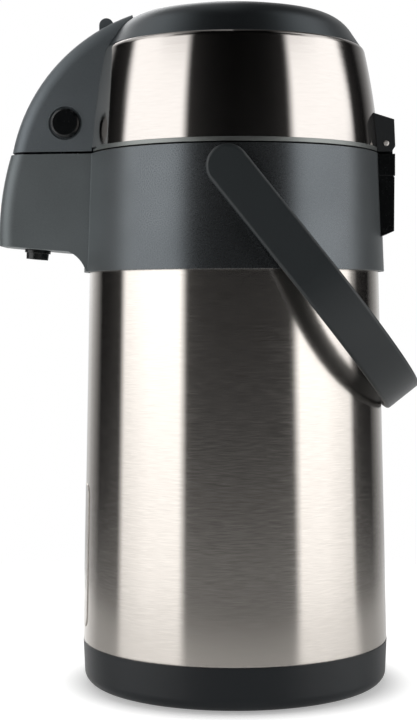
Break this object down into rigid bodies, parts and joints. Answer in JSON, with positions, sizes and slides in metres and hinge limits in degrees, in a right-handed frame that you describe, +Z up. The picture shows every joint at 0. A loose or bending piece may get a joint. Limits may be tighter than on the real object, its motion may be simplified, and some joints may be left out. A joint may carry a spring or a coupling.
{
  "type": "pump pot",
  "caption": "Brushed-steel vacuum pump pot with a hinged pump lid, a beak spout, side release buttons, a slide lock and a swing handle.",
  "frame": {"origin": "on the vessel's axis, at the level of the resting face of the foot ring", "axes": "+Z up along the vessel's axis, -X towards the spout, +X towards the lid's hinge, -Y towards the pictured side"},
  "size_m": [0.2272, 0.1784, 0.3646],
  "materials": {
    "brushed_steel": "brushed around the body",
    "liner_steel": "satin",
    "disc_steel": "spun",
    "bright_steel": "polished",
    "grey_plastic": "fine spark texture",
    "cap_plastic": "satin",
    "rim_plastic": "satin",
    "base_plastic": "satin",
    "handle_plastic": "satin",
    "black_plastic": "gloss",
    "pale_plastic": "satin",
    "silicone": "matt",
    "foot_rubber": "matt"
  },
  "bodies": {
    "pot": {"foot_ring": "foot_rubber", "base_ring": "base_plastic", "shell_bottom": "liner_steel", "outer_shell": "brushed_steel", "inner_liner": "liner_steel", "neck_seal": "silicone", "neck_ring": "rim_plastic", "collar": "grey_plastic", "dip_tube": "pale_plastic", "tube_head": "pale_plastic", "outlet_pipe": "pale_plastic", "spout_nozzle": "black_plastic", "hinge_bracket": "black_plastic", "hinge_cover": "black_plastic", "bush_near": "base_plastic", "bush_far": "base_plastic"},
    "lid": {"lid_base": "rim_plastic", "lid_gasket": "silicone", "air_valve": "silicone", "lid_shell": "grey_plastic", "lid_screws": "bright_steel", "lid_band": "brushed_steel", "lid_cap": "cap_plastic", "lid_hinge_arm": "black_plastic", "hinge_pin": "bright_steel", "bellows": "silicone", "return_spring": "bright_steel", "spring_near": "bright_steel", "spring_far": "bright_steel"},
    "pump": {"push_plate": "cap_plastic", "push_disc": "disc_steel"},
    "lock": {"lock_slider": "cap_plastic"},
    "release_near": {"button_near": "black_plastic"},
    "release_far": {"button_far": "black_plastic"},
    "carry_handle": {"handle": "handle_plastic"}
  },
  "joints": [
    {"name": "lid_hinge", "type": "hinge", "parent": "pot", "child": "lid", "pos_m": [0.082, 0, 0.2933], "axis": [0, 1, 0], "range_deg": [0, 85]},
    {"name": "pump_slide", "type": "slide", "parent": "lid", "child": "pump", "axis": [0, 0, -1], "range_m": [0, 0.024], "stiffness_N_per_m": 200, "springref_m": -0.03, "deforming": ["bellows", "return_spring"]},
    {"name": "lock_slide", "type": "slide", "parent": "lid", "child": "lock", "axis": [0, 1, 0], "range_m": [0, 0.008]},
    {"name": "release_near_slide", "type": "slide", "parent": "lid", "child": "release_near", "axis": [0, 1, 0], "range_m": [0, 0.003], "stiffness_N_per_m": 300, "springref_m": -0.004, "deforming": ["spring_near"]},
    {"name": "release_far_slide", "type": "slide", "parent": "lid", "child": "release_far", "axis": [0, -1, 0], "range_m": [0, 0.003], "stiffness_N_per_m": 300, "springref_m": -0.004, "deforming": ["spring_far"]},
    {"name": "handle_swing", "type": "hinge", "parent": "pot", "child": "carry_handle", "pos_m": [-0.0029, 0, 0.2758], "axis": [0, -1, 0], "range_deg": [0, 280]}
  ]
}
